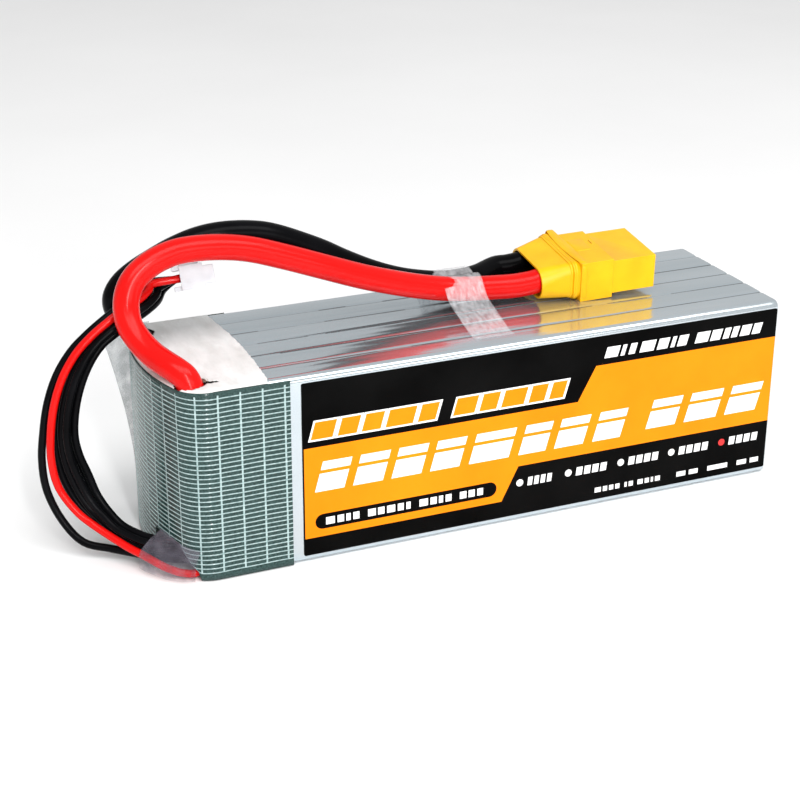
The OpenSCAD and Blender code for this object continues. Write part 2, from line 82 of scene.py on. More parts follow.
camera_data = bpy.data.cameras.new("camera")
camera_data.lens = 80.52
camera_data.sensor_width = 36
camera_data.clip_end = 20
camera = bpy.data.objects.new("camera", camera_data)
bpy.context.collection.objects.link(camera)
camera.matrix_world = (
    Matrix.Translation(Vector((-158.31, -337.32, 181.99)) * MM)
    @ Matrix.Rotation(math.radians(-23.38), 4, "Z")
    @ Matrix.Rotation(math.radians(90 - 23.25), 4, "X")
    @ Matrix.Rotation(math.radians(0.247), 4, "Z")
)
bpy.context.scene.camera = camera
bpy.context.scene.view_settings.view_transform = "Standard"
bpy.context.scene.view_settings.look = "None"


# ---- materials ----

def surface(
    name, dark, light, rough, spread=0.06, metallic=0.0, grain=150, bump=0.0, bump_grain=900,
    stretch=(1, 1, 1), alpha=None, specular=0.5, subsurface=0.0,
):
    """A procedural finish: two tones mixed by noise, uneven roughness and a fine bump."""
    material = bpy.data.materials.new(name)
    material.use_nodes = True
    nodes = material.node_tree.nodes
    links = material.node_tree.links
    shader = nodes["Principled BSDF"]
    shader.inputs["Metallic"].default_value = metallic
    shader.inputs["Specular IOR Level"].default_value = specular
    shader.inputs["Subsurface Weight"].default_value = subsurface
    shader.inputs["Subsurface Radius"].default_value = (0.002, 0.0015, 0.001)
    place = nodes.new("ShaderNodeTexCoord")
    mapping = nodes.new("ShaderNodeMapping")
    mapping.inputs["Scale"].default_value = stretch
    links.new(place.outputs["Object"], mapping.inputs["Vector"])

    def cloud(scale, detail):
        node = nodes.new("ShaderNodeTexNoise")
        node.inputs["Scale"].default_value = scale
        node.inputs["Detail"].default_value = detail
        links.new(mapping.outputs["Vector"], node.inputs["Vector"])
        return node.outputs["Fac"]

    tone = nodes.new("ShaderNodeValToRGB")
    tone.color_ramp.elements[0].position = 0.3
    tone.color_ramp.elements[0].color = (*dark, 1)
    tone.color_ramp.elements[1].position = 0.7
    tone.color_ramp.elements[1].color = (*light, 1)
    links.new(cloud(grain, 5), tone.inputs["Fac"])
    links.new(tone.outputs["Color"], shader.inputs["Base Color"])
    uneven = nodes.new("ShaderNodeMapRange")
    uneven.inputs["To Min"].default_value = max(0.02, rough - spread)
    uneven.inputs["To Max"].default_value = rough + spread
    links.new(cloud(grain * 1.7, 3), uneven.inputs["Value"])
    links.new(uneven.outputs["Result"], shader.inputs["Roughness"])
    if bump:
        relief = nodes.new("ShaderNodeBump")
        relief.inputs["Strength"].default_value = 0.6
        relief.inputs["Distance"].default_value = bump * MM
        links.new(cloud(bump_grain, 4), relief.inputs["Height"])
        links.new(relief.outputs["Normal"], shader.inputs["Normal"])
    if alpha is not None:
        cover = nodes.new("ShaderNodeMapRange")
        cover.inputs["From Min"].default_value = 0.35
        cover.inputs["From Max"].default_value = 0.65
        cover.inputs["To Min"].default_value = alpha[0]
        cover.inputs["To Max"].default_value = alpha[1]
        links.new(cloud(grain * 2.3, 4), cover.inputs["Value"])
        links.new(cover.outputs["Result"], shader.inputs["Alpha"])
    return material


RED = surface("silicone_red", (0.57, 0.003, 0.002), (0.68, 0.005, 0.004), 0.2, 0.05,
              grain=90, bump=0.02, bump_grain=1500, specular=0.17)
BLACK = surface("silicone_black", (0.001, 0.001, 0.0012), (0.004, 0.004, 0.005), 0.2, 0.06,
                grain=90, bump=0.02, bump_grain=1500, specular=0.05)
FILM_SILVER = surface("shrink_film", (0.5, 0.57, 0.61), (0.64, 0.7, 0.74), 0.16, 0.06, 0.85,
                      grain=30, bump=0.01, bump_grain=260, stretch=(0.25, 2.4, 1))
# Painted shade: a darker film colour for the valleys between the cells on the sleeve top, standing in for
# the shade and dark reflection there
CREASE_SHADE = surface("film_crease_painted_shade", (0.1, 0.115, 0.125), (0.3, 0.33, 0.35), 0.25, 0.08, 0.7,
                 grain=60, bump=0.01, stretch=(0.2, 2, 1))
TAPE_DARK = surface("tape_dark", (0.006, 0.022, 0.02), (0.036, 0.075, 0.07), 0.16, 0.05,
                    grain=2600, bump=0.02, bump_grain=2200, specular=0.3)
TAPE_LINE = surface("tape_line", (0.2, 0.3, 0.3), (0.44, 0.56, 0.56), 0.14, 0.04,
                    grain=1400, bump=0.02, bump_grain=1800, specular=0.5)
PAPER = surface("crepe_paper", (0.62, 0.625, 0.61), (0.76, 0.77, 0.765), 0.75, 0.12,
                grain=260, bump=0.12, bump_grain=900, stretch=(1, 0.35, 1), specular=0.2)
FIBRE = surface("torn_fibre", (0.2, 0.11, 0.07), (0.5, 0.38, 0.3), 0.8, 0.1, grain=900, bump=0.03)
CLEAR = surface("clear_film", (0.3, 0.36, 0.38), (0.55, 0.62, 0.64), 0.16, 0.06,
                grain=110, bump=0.02, bump_grain=300, alpha=(0.24, 0.42))
SMOKY = surface("exit_film", (0.06, 0.055, 0.075), (0.24, 0.22, 0.27), 0.16, 0.07,
                grain=160, bump=0.03, bump_grain=380, alpha=(0.12, 0.3))
STRAP = surface("strap_film", (0.7, 0.7, 0.73), (0.9, 0.9, 0.92), 0.3, 0.1,
                grain=700, bump=0.02, bump_grain=600, stretch=(1, 0.4, 0.4), alpha=(0.12, 0.26))
YELLOW = surface("connector_yellow", (0.76, 0.37, 0.002), (0.86, 0.47, 0.004), 0.34, 0.08,
                 grain=120, bump=0.025, bump_grain=1600, specular=0.22, subsurface=0.04)
PLUG = surface("plug_white", (0.5, 0.53, 0.56), (0.66, 0.69, 0.72), 0.34, 0.08,
               grain=200, bump=0.02, bump_grain=1500, subsurface=0.1)
GOLD = surface("contact_gold", (0.75, 0.5, 0.16), (0.92, 0.68, 0.3), 0.2, 0.06, 1.0, grain=500)
TIN = surface("contact_tin", (0.5, 0.5, 0.48), (0.72, 0.72, 0.7), 0.25, 0.07, 1.0, grain=600)
FOIL = surface("cell_foil", (0.3, 0.315, 0.33), (0.46, 0.48, 0.5), 0.42, 0.1, 0.8,
               grain=120, bump=0.06, bump_grain=300)
NICKEL = surface("tab_nickel", (0.45, 0.43, 0.38), (0.66, 0.63, 0.56), 0.3, 0.08, 1.0, grain=400)
ALUMINIUM = surface("tab_aluminium", (0.6, 0.61, 0.62), (0.8, 0.81, 0.82), 0.32, 0.08, 1.0, grain=400)
BOARD = surface("board", (0.012, 0.07, 0.02), (0.03, 0.13, 0.05), 0.35, 0.08, grain=300, bump=0.03)
COPPER = surface("copper", (0.5, 0.2, 0.08), (0.75, 0.36, 0.18), 0.28, 0.08, 1.0, grain=400)
SOLDER = surface("solder", (0.4, 0.41, 0.42), (0.68, 0.69, 0.7), 0.24, 0.08, 1.0, grain=500, bump=0.06)
FOAM = surface("foam", (0.02, 0.02, 0.022), (0.06, 0.06, 0.065), 0.85, 0.1, grain=900, bump=0.2)
SHEET = surface("sheet", (0.6, 0.56, 0.42), (0.75, 0.72, 0.58), 0.6, 0.1, grain=300, bump=0.03)
INK_BLACK = surface("ink_black", (0.001, 0.001, 0.001), (0.004, 0.004, 0.004), 0.3, 0.05,
                    grain=60, bump=0.01, bump_grain=700, specular=0.02)
INK_ORANGE = surface("ink_orange", (0.8, 0.21, 0.002), (0.86, 0.25, 0.004), 0.3, 0.05,
                     grain=70, bump=0.01, bump_grain=700, specular=0.08)
INK_WHITE = surface("ink_white", (0.82, 0.82, 0.82), (0.93, 0.93, 0.93), 0.3, 0.05,
                    grain=90, bump=0.01, bump_grain=700, specular=0.3)
INK_RED = surface("ink_red", (0.5, 0.01, 0.01), (0.75, 0.02, 0.02), 0.3, 0.05, grain=90, bump=0.01)
FLOOR = surface("floor", (0.86, 0.86, 0.86), (0.9, 0.9, 0.9), 0.6, 0.1, grain=6, specular=0.2)


# ---- building helpers ----

def add_mesh(name, points, faces, materials, tones=None, smooth=True):
    """A mesh object from points in millimetres; tones gives each face's material."""
    mesh = bpy.data.meshes.new(name)
    mesh.from_pydata([Vector(p) * MM for p in points], [], faces)
    for material in materials:
        mesh.materials.append(material)
    if tones:
        mesh.polygons.foreach_set("material_index", tones)
    work = bmesh.new()
    work.from_mesh(mesh)
    bmesh.ops.remove_doubles(work, verts=work.verts, dist=0.0005 * MM)
    bmesh.ops.recalc_face_normals(work, faces=work.faces)
    work.to_mesh(mesh)
    work.free()
    mesh.polygons.foreach_set("use_smooth", [smooth] * len(mesh.polygons))
    mesh.update()
    obj = bpy.data.objects.new(name, mesh)
    bpy.context.collection.objects.link(obj)
    return obj


def grid_faces(rows, cols, closed=False):
    """Quads over a grid of points; closed joins the last column to the first."""
    last = cols if closed else cols - 1
    return [
        (r * cols + c, r * cols + (c + 1) % cols, (r + 1) * cols + (c + 1) % cols, (r + 1) * cols + c)
        for r in range(rows - 1) for c in range(last)
    ]


def attach(obj, nodes=(), body="pack"):
    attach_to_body(obj, body)
    if nodes:
        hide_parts(*nodes)
    return obj


def thicken(obj, amount, offset=0.0):
    modifier = obj.modifiers.new("thickness", "SOLIDIFY")
    modifier.thickness = amount * MM
    modifier.offset = offset
    return obj


def wave(x, y, z, seed=0.0):
    """Smooth noise from -1 to 1; the scale is in the arguments."""
    return noise.noise(Vector((x + seed, y - seed, z + 0.5 * seed)))


def spaced(start, end, count):
    return [start + (end - start) * i / count for i in range(count + 1)]


def between(a, b, c, d, t):
    return 0.5 * (
        2 * b + (c - a) * t + (2 * a - 5 * b + 4 * c - d) * t * t
        + (3 * b - a - 3 * c + d) * t * t * t
    )


def smooth_path(points, steps):
    """A smooth curve through the points, with this many steps in each gap."""
    p = [Vector(q) for q in points]
    last = len(p) - 1
    out = [
        between(p[max(i - 1, 0)], p[i], p[i + 1], p[min(i + 2, last)], k / steps)
        for i in range(last) for k in range(steps)
    ]
    return out + [p[last]]


def turned(v, degrees):
    """A local point turned about X, then Y, then Z."""
    turn = (
        Matrix.Rotation(math.radians(degrees[2]), 3, "Z")
        @ Matrix.Rotation(math.radians(degrees[1]), 3, "Y")
        @ Matrix.Rotation(math.radians(degrees[0]), 3, "X")
    )
    return turn @ Vector(v)


# ---- power leads ----

POWER_R = 2.75
CONTACT_PITCH = 10.2
CUP_END = -13.2
CONN_AT = Vector((END_X + 110.3, 5.2, PACK_H + 5.7))
CONN_TURN = (5.5, -2, -3.5)
LEAD_DROP = 0.7
INTO_CUP = [(-9.5, 1), (-6.5, 1), (-4.2, 0.8), (-2.4, 0.3), (-1, 0), (-0.1, 0)]
RED_ROUTE = [
    (6.9, -16, -18), (7, -16, -13), (7.1, -16.1, -8.5), (7, -16.3, -4.6),
    (6.7, -16.3, -1.6), (5.9, -15.5, 0.9), (4.5, -13.8, 2.2), (2.9, -11.3, 3.1),
    (1.2, -8.2, 4.2), (-0.4, -5, 6.1), (-1.6, -2.2, 8.8), (-1.5, 0, 12), (-0.5, 1.2, 15),
    (1.5, 2, 17.5), (5, 2.6, 19.7), (9.4, 3, 21.1), (14, 3, 21.5), (20, 3, 21.1),
    (26.5, 3, 19.8), (34.5, 2.6, 17.1), (42.5, 2.2, 14.1), (52.5, 2.2, 10.3),
    (62.5, 2.2, 7.2), (70.5, 2.2, 5.3), (77, 2, 4.4), (82.5, 1.8, 4),
]
BLACK_ROUTE = [
    (7, 16, -18), (7.1, 16, -13), (6.9, 16, -8.8), (6.3, 16, -5.2), (5, 15.9, -1.9),
    (3.5, 15.4, 0.8), (1.9, 14.8, 3), (0.5, 14, 5.2), (-0.4, 13.5, 7.6),
    (-0.2, 13.3, 9.9), (1.4, 13.1, 12.3), (4.2, 12.8, 14.5), (7.9, 12.4, 16.6),
    (12.2, 11.5, 18.9), (17.2, 10.5, 20.8), (22.4, 9.7, 21.6), (28.4, 9.2, 21.3),
    (34.1, 9, 19.9), (43.3, 8.8, 15.8), (49.1, 8.6, 12.6), (54.4, 8.4, 9.9),
    (59.6, 8.2, 7.7), (65.1, 7.9, 6), (72, 7.8, 4.6), (77.5, 8.5, 4.1), (82.8, 9.8, 4.1),
]


def add_cord(name, node, material, points, radius):
    """A curve along the points that stands for one lead of the frame."""
    data = bpy.data.curves.new(name, "CURVE")
    data.dimensions = "3D"
    data.bevel_depth = radius * MM
    data.bevel_resolution = 8
    data.use_fill_caps = True
    data.materials.append(material)
    spline = data.splines.new("POLY")
    spline.points.add(len(points) - 1)
    for knot, p in zip(spline.points, points):
        knot.co = (*(p * MM), 1)
    spline.use_smooth = True
    obj = bpy.data.objects.new(name, data)
    bpy.context.collection.objects.link(obj)
    attach(obj, [node])
    return obj


def power_path(route, side):
    start = Vector((END_X, 0, PACK_H))
    ends = [
        CONN_AT + turned((CUP_END + along, side * CONTACT_PITCH / 2, -LEAD_DROP * share), CONN_TURN)
        for along, share in INTO_CUP
    ]
    return smooth_path([start + Vector(p) for p in route] + ends, 5)


add_cord("lead_red", "power_lead_red", RED, power_path(RED_ROUTE, -1), POWER_R)
add_cord("lead_black", "power_lead_black", BLACK, power_path(BLACK_ROUTE, 1), POWER_R)

# ---- balance leads ----

BALANCE_R = 0.85
PIN_PITCH = 2.5
PLUG_AT = Vector((END_X + 18.1, 14.4, 54.4))
PLUG_TURN = (-19.5, -7.5, -14)
PLUG_LEN = 7.2
LEAD_IN = 1.2
BUNDLE = [
    (5.6, -13.1, 3.9), (2, -11.8, 4), (-1.3, -9.7, 4.2), (-3.8, -6.8, 4.4),
    (-6.9, -3.1, 5.4), (-9.6, 0, 7.5), (-12.4, 2.4, 11), (-14.7, 3.8, 16.2),
    (-15.9, 4.4, 21.6), (-16, 4.7, 27), (-15, 5, 33), (-13.1, 5.1, 38.6),
    (-10.4, 5.2, 43.3), (-7.2, 5.4, 46.7), (-3.8, 5.5, 49.1), (-0.4, 6, 51),
    (3.2, 7.7, 52), (6.7, 11.3, 52.5), (9.1, 15.1, 53),
]
SIGHT = Vector((0.27, 0.9, -0.33))
FAN = [0, 0, 0, 0, 0.05, 0.3, 0.65, 0.95, 0.75, 0.5, 0.4, 0.3, 0.15, 0, 0, 0, 0, 0, 0]
SPREAD = [0] * 16 + [0.1, 0.45, 0.9]
PACKED = [(0.94, -1.65), (-0.94, -1.65), (1.88, 0), (0, 0), (-1.88, 0), (0.94, 1.65), (-0.94, 1.65)]
FANNED = [(2.9, -0.9), (-1.9, -1.3), (5.3, 0), (-0.4, 0), (-4, 0), (1.4, 1.3), (-2.2, 1.5)]
OUTER_BOW = {3: 0.4, 4: 1.5, 5: 3, 6: 1.8, 7: 0.3}
CORNER_EXIT = [
    (8.4, -17, 2.8), (5.6, -18.4, 1.2), (2.8, -17.6, 1.2), (0.3, -16, 1.9),
    (-1.9, -13.9, 2.8), (-4, -10.8, 3.6), (-6.6, -7.2, 4.5),
]
CORNER_EXIT_JOINS = 5
JOINT_AT = Vector((END_X + 12.2, -13, 5.1))
JOINT_SPREAD = 1.3


def lead_at(i, k):
    """Where lead i lies at point k of the bundle."""
    p = [Vector(q) for q in BUNDLE]
    heading = (p[min(k + 1, len(p) - 1)] - p[max(k - 1, 0)]).normalized()
    out = heading.cross(SIGHT).normalized()
    side = heading.cross(out).normalized()
    bow = OUTER_BOW.get(k, 0) if i == 2 else 0
    outward = PACKED[i][0] * (1 - FAN[k]) + FANNED[i][0] * FAN[k] + bow
    sideways = PACKED[i][1] * (1 - FAN[k]) + FANNED[i][1] * FAN[k]
    row = turned((0, (i - 3) * PIN_PITCH, 0), PLUG_TURN)
    return (
        Vector((END_X, 0, 0)) + p[k] + out * outward * (1 - SPREAD[k] ** 18)
        - side * sideways * (1 - SPREAD[k]) + row * SPREAD[k]
    )


def plug_point(i, inside):
    return PLUG_AT + turned((-PLUG_LEN / 2 + inside, (i - 3) * PIN_PITCH, 0), PLUG_TURN)


def balance_path(i):
    joint = JOINT_AT + JOINT_SPREAD * Vector((0, PACKED[i][1], -PACKED[i][0]))
    corner = [Vector((END_X, 0, 0)) + Vector(p) for p in CORNER_EXIT] if i == 0 else []
    first = CORNER_EXIT_JOINS if i == 0 else 0
    along = [lead_at(i, k) for k in range(first, len(BUNDLE))]
    points = [joint - Vector((0.05, 0, 0)), joint - Vector((2, 0, 0))] + corner + along
    return smooth_path(points + [plug_point(i, -1.2), plug_point(i, LEAD_IN - 0.05)], 5)


for i in range(7):
    path = balance_path(i)
    add_cord(
        f"balance_wire_{i + 1}", f"balance_lead_{i + 1}",
        RED if i == 0 else BLACK, path, BALANCE_R,
    )

# ---- outline of the wire end ----

CORNER_Y = HALF_W - CORNER_R
BULGE_X = END_X + BULGE_R
CORNER_X = BULGE_X - math.sqrt((BULGE_R - CORNER_R) ** 2 - CORNER_Y ** 2)
TANGENT = math.atan2(CORNER_Y, BULGE_X - CORNER_X)
STRAIGHT = WRAP_X1 - CORNER_X
CORNER_ARC = CORNER_R * (math.pi / 2 - TANGENT)
BULGE_ARC = BULGE_R * 2 * TANGENT
OUTLINE = 2 * STRAIGHT + 2 * CORNER_ARC + BULGE_ARC


def outline(s):
    """Point and outward normal in plan, s along the wire end from the front side to the back."""
    if s > OUTLINE / 2:
        (x, y), (nx, ny) = outline(OUTLINE - s)
        return (x, -y), (nx, -ny)
    if s < STRAIGHT:
        return (WRAP_X1 - s, -HALF_W), (0, -1)
    if s < STRAIGHT + CORNER_ARC:
        a = -math.pi / 2 - (s - STRAIGHT) / CORNER_R
        n = (math.cos(a), math.sin(a))
        return (CORNER_X + CORNER_R * n[0], -CORNER_Y + CORNER_R * n[1]), n
    a = math.pi + TANGENT - (s - STRAIGHT - CORNER_ARC) / BULGE_R
    n = (math.cos(a), math.sin(a))
    return (BULGE_X + BULGE_R * n[0], BULGE_R * n[1]), n


def left_edge(y, inset):
    """X of the wire end's outline at y, moved in by inset."""
    if abs(y) <= BULGE_R * math.sin(TANGENT):
        return BULGE_X - math.sqrt((BULGE_R - inset) ** 2 - y * y)
    rise = min(abs(y) - CORNER_Y, CORNER_R - inset)
    return CORNER_X - math.sqrt(max(0, (CORNER_R - inset) ** 2 - max(0, rise) ** 2))


# ---- shrink sleeve ----

SLEEVE_CORNER_R = 1.6
SLEEVE_FILM_T = 0.12
TOP_STEPS = 168
GROOVE_DEPTH = 0.2
GROOVE_HALF_W = 0.5
# Half width of the painted shade strip along each valley on top
CREASE_SHADE_W = 0.13
LAP_Z = 9
# The film's last rows at the far rim: how far short of the end, and how far turned in
FAR_RIM = [
    (0.2, 0.06), (0.05, 0.2), (0, 0.45), (0, 1.2), (0.05, 2.2), (0, 3.6), (0.1, 4.8), (0.3, 5.7), (0.38, 6),
]


def groove(y):
    """Depth of the film's valleys between the cells."""
    return sum(GROOVE_DEPTH * math.exp(-(((y - k * CELL_PITCH) / GROOVE_HALF_W) ** 2)) for k in range(-2, 3))


def sleeve_section():
    """Points round the sleeve with their outward normals: top, back, underside and front."""
    r = SLEEVE_CORNER_R
    flat = SLEEVE_HALF_W - r
    high = SLEEVE_TOP - r
    across = [flat * (2 * i / TOP_STEPS - 1) for i in range(TOP_STEPS + 1)]
    angles = [math.pi / 2 * i / 8 for i in range(1, 8)]
    turn = [(math.sin(a), math.cos(a)) for a in angles]
    upright = spaced(r, high, 26)
    section = [(y, SLEEVE_TOP - groove(y), 0, 1) for y in across]
    section += [(flat + r * sin, high + r * cos, sin, cos) for sin, cos in turn]
    section += [(SLEEVE_HALF_W, z, 1, 0) for z in reversed(upright)]
    section += [(flat + r * cos, r - r * sin, cos, -sin) for sin, cos in turn]
    section += [(y, groove(y) * 0.5, 0, -1) for y in reversed(across)]
    section += [(-flat - r * sin, r - r * cos, -sin, -cos) for sin, cos in turn]
    section += [(-SLEEVE_HALF_W, z, -1, 0) for z in upright]
    section += [(-flat - r * cos, high + r * sin, -cos, sin) for sin, cos in turn]
    return section


def film_dent(x, y, z, ny):
    """How far the film dips in, as a negative depth; the back is finer and deeper below its lap."""
    calm = min(1, (FAR_X - x) / 6 + 0.25)
    if ny > 0.5:
        return min(-0.04 * (1 + wave(x / 11, z / 2.6, 1, 21)) * calm - (0.05 if z < LAP_Z else 0), 0)
    return min((0.07 * wave(x / 42, y / 2.1, z / 9) + 0.05 * wave(x / 9, y / 3.4, z / 5, 7)) * calm, 0)


def build_sleeve():
    section = sleeve_section()
    stations = [(x, 0) for x in spaced(SLEEVE_X0, FAR_X - 0.5, 96)]
    stations += [(FAR_X - short, inset) for short, inset in FAR_RIM]
    mid = SLEEVE_TOP / 2
    points = []
    for x, inset in stations:
        for k, (y, z, ny, nz) in enumerate(section):
            dent = film_dent(x, y, z, ny)
            fold = 0.75 * wave(k / 2.3, inset / 4, 0, 3) * min(1, inset / 3)
            shrink_y = 1 - (inset + fold) / SLEEVE_HALF_W
            shrink_z = 1 - (inset + fold) / mid
            points.append((
                min(x + 0.25 * abs(fold) - 0.1 * min(1, inset), FAR_X),
                (y + ny * dent) * shrink_y,
                max(mid + (z + nz * dent - mid) * shrink_z, 0),
            ))
    count = len(section)
    faces = grid_faces(len(stations), count, True)
    # Faces on top near each valley between the cells get the painted shade colour
    tones = []
    for f in faces:
        y = (section[f[0] % count][0] + section[f[1] % count][0]) / 2
        near = abs(y / CELL_PITCH - round(y / CELL_PITCH)) * CELL_PITCH
        on_top = f[0] % count < TOP_STEPS
        tones.append(1 if on_top and near < CREASE_SHADE_W + 0.1 * wave(points[f[0]][0] / 14, y, 0, 8) else 0)
    return add_mesh("sleeve_film", points, faces, [FILM_SILVER, CREASE_SHADE], tones)


attach(thicken(build_sleeve(), SLEEVE_FILM_T, -1), ["shrink_sleeve"])

# ---- grid tape ----

LINE_PITCH = 4.75
LINE_START = 1.0
LINE_W = 0.36
RIB_H = 0.24
BAND_LOW = 1.5
BAND_HIGH = 1.3
RIB_COUNT = 38
FLAT_FACE = 0.012


def tape_low(x, y):
    """Lower edge of the tape: raised over the slot that the balance leads come out of."""
    if x > END_X + 9 or not -20.3 < y < -6:
        return WRAP_Z0
    return min(7.4, 2 + max(0, (y + 20.3) / 3.8) * 5.4)


def tape_high(x, y):
    """Upper edge of the tape: a notch where the black lead leans out."""
    if x > END_X + 9:
        return WRAP_Z1
    return WRAP_Z1 - 4.4 * math.sqrt(max(0, 1 - ((y - 15.8) / 3.1) ** 2))


def build_tape():
    low = WRAP_Z0 + BAND_LOW
    pitch = (WRAP_Z1 - BAND_HIGH - low - RIB_H) / RIB_COUNT
    levels = [(WRAP_Z0, -0.3, 0), (WRAP_Z0, 0, 0), (low - 0.5, 0, 0)]
    for k in range(RIB_COUNT + 1):
        z = low + k * pitch
        levels += [(z, -0.12, 1), (z + RIB_H / 2, 0.0, 1), (z + RIB_H, -0.12, 0)]
        if k < RIB_COUNT:
            gap = pitch - RIB_H
            levels += [(z + RIB_H + gap * 0.3, -0.12, 0), (z + RIB_H + gap * 0.7, -0.1, 0)]
    levels += [(WRAP_Z1 - 0.7, -0.02, 0), (WRAP_Z1 - 0.1, 0, 0), (WRAP_Z1, -0.1, 0), (WRAP_Z1, -0.3, 0)]
    stops = [(0.0, 0), (0.3, 0)]
    s = LINE_START
    while s < OUTLINE - 1:
        stops += [(s, 1), (s + LINE_W / 2, 1), (s + LINE_W, 0)]
        reach = min(s + LINE_PITCH, OUTLINE - 0.6)
        stops += [(t, 0) for t in spaced(s + LINE_W, reach, 8)[1:-1]]
        s += LINE_PITCH
    stops.append((OUTLINE, 0))
    points = []
    for z, depth, _ in levels:
        for s, line in stops:
            (x, y), (nx, ny) = outline(s)
            level = min(max(z, tape_low(x, y)), tape_high(x, y))
            push = depth + (0.05 if line and depth > -0.2 else 0)
            push = min(0, push + 0.05 * wave(x / 5, y / 5, z / 4) - 0.02)
            slump = 0.1 * wave(s / 7, 0, z / 5, 11) if WRAP_Z0 + 1 < level < WRAP_Z1 - 1 else 0
            points.append((x + nx * push, y + ny * push, level + slump))
    faces = grid_faces(len(levels), len(stops))
    width = len(stops) - 1
    tones = []
    for r in range(len(levels) - 1):
        for c in range(width):
            inside = 2 < r < len(levels) - 4
            tones.append(1 if inside and (levels[r][2] or stops[c][1]) else 0)
    # Faces that the slot or the notch squeezes flat are left out, except along the two edges
    kept = [
        (f, t) for f, t in zip(faces, tones)
        if max(points[i][2] for i in f) - min(points[i][2] for i in f) > FLAT_FACE
        or f[0] < 2 * width + 4 or f[0] > len(points) - 3 * width
    ]
    faces, tones = zip(*kept)
    return add_mesh("grid_tape", points, faces, [TAPE_DARK, TAPE_LINE], tones)


attach(build_tape(), ["end_wrap"])

# ---- crepe paper cap ----

LEAF_X1 = END_X + 23
LEAF_BOW_R = 180
PAPER_INSET = 0.36
SLIT_START = 9
SLIT_END = 12.4


def leaf_right(y):
    """The leaf's torn edge: a wide bow with small ragged steps."""
    rag = 0.22 * wave(0, y / 0.9, 0, 5) + 0.12 * wave(0, y / 0.25, 0, 9)
    return LEAF_X1 - LEAF_BOW_R + math.sqrt(LEAF_BOW_R ** 2 - y * y) + rag - 0.3


def leaf_height(x, y):
    """Crepe relief from noise, capped in height."""
    lift = 0.16 * abs(wave(x / 1.6, y / 5, 0)) + 0.1 * abs(wave(x / 0.6, y / 1.5, 0, 4))
    return min(lift, 0.24)


def in_hole(x, y):
    """Inside one of the torn holes that the power leads come out through."""
    ragged = 0.35 * wave(x / 0.8, y / 0.8, 0, 2)
    red = math.hypot((x - (END_X + 6.6)) / 1.08, (y + 15.9)) < 3.15 + ragged
    slit = False
    if END_X + SLIT_START < x < END_X + SLIT_END:
        slit = abs(y + 16.7 + 0.12 * (x - END_X - SLIT_START)) < 0.45 * (END_X + SLIT_END - x) ** 0.5
    black = math.hypot(x - (END_X + 4.9), y - 15.6) < 3.2 + ragged
    return red or slit or black


def build_paper():
    rows, cols = 150, 90
    points = []
    for r in range(rows + 1):
        y = (HALF_W - PAPER_INSET) * (2 * r / rows - 1)
        x0 = left_edge(y, PAPER_INSET)
        x1 = max(leaf_right(y), x0 + 1)
        for c in range(cols + 1):
            x = x0 + (x1 - x0) * c / cols
            rim = min(1, (c / cols) * 8, (1 - abs(y) / HALF_W) * 14)
            sag = 0.5 * max(0, 1 - rim) ** 2
            points.append((x, y, PACK_H - 0.25 - sag + leaf_height(x, y) * rim))
    count = cols + 1
    faces = []
    for f in grid_faces(rows + 1, count):
        x = sum(points[i][0] for i in f) / 4
        y = sum(points[i][1] for i in f) / 4
        if not in_hole(x, y):
            faces.append(f)
    base = len(points)
    steps = spaced(0.5, OUTLINE - 0.5, 130)
    heights = spaced(0.05, PACK_H - 0.5, 40)
    wall = []
    for z in heights:
        for s in steps:
            (x, y), (nx, ny) = outline(s)
            level = min(max(z, tape_low(x, y)), tape_high(x, y) - 0.2)
            wall.append((x - nx * PAPER_INSET, y - ny * PAPER_INSET, level))
    wall_faces = [tuple(base + i for i in f) for f in grid_faces(len(heights), len(steps))]
    return add_mesh("paper_leaf", points + wall, faces + wall_faces, [PAPER])


attach(thicken(build_paper(), 0.12), ["paper_cap"])


FIBRE_COUNT = 64
FIBRE_R = 0.05


def build_fibres():
    """Loose fibres round the torn slit beside the red lead."""
    points, faces = [], []
    for k in range(FIBRE_COUNT):
        turn = 6.283 * (0.5 + 0.5 * wave(k * 1.7, 0.3, 0))
        spot = 2.4 * wave(k * 0.9, 4.1, 0, 2)
        root = Vector((END_X + 9.4 + 1.1 * wave(k * 2.3, 1.3, 0), -16.2 + 0.5 * spot, PACK_H - 0.15))
        reach = 0.7 + 0.8 * abs(wave(k * 3.1, 8, 0))
        tip = root + Vector((math.cos(turn) * reach, math.sin(turn) * reach * 0.6, 0.25 + 0.35 * reach))
        middle = (root + tip) / 2 + Vector((0.15 * math.sin(turn), 0.12, 0.14))
        start = len(points)
        for p, w in ((root, FIBRE_R), (middle, FIBRE_R), (tip, FIBRE_R * 0.3)):
            points += [p + Vector((w, 0, 0)), p + Vector((-w / 2, w, 0)), p + Vector((-w / 2, -w / 2, w))]
        for ring in range(2):
            for side in range(3):
                a = start + ring * 3 + side
                b = start + ring * 3 + (side + 1) % 3
                faces.append((a, b, b + 3, a + 3))
        faces.append((start + 6, start + 7, start + 8))
    return add_mesh("torn_fibres", [tuple(p) for p in points], faces, [FIBRE])


attach(build_fibres())

# ---- films ----

def resample(grid, rows, cols):
    """A finer grid through a coarse one, smooth both ways."""
    across = [smooth_path(row, cols) for row in grid]
    down = [smooth_path([row[c] for row in across], rows) for c in range(len(across[0]))]
    return [[column[r] for column in down] for r in range(len(down[0]))]


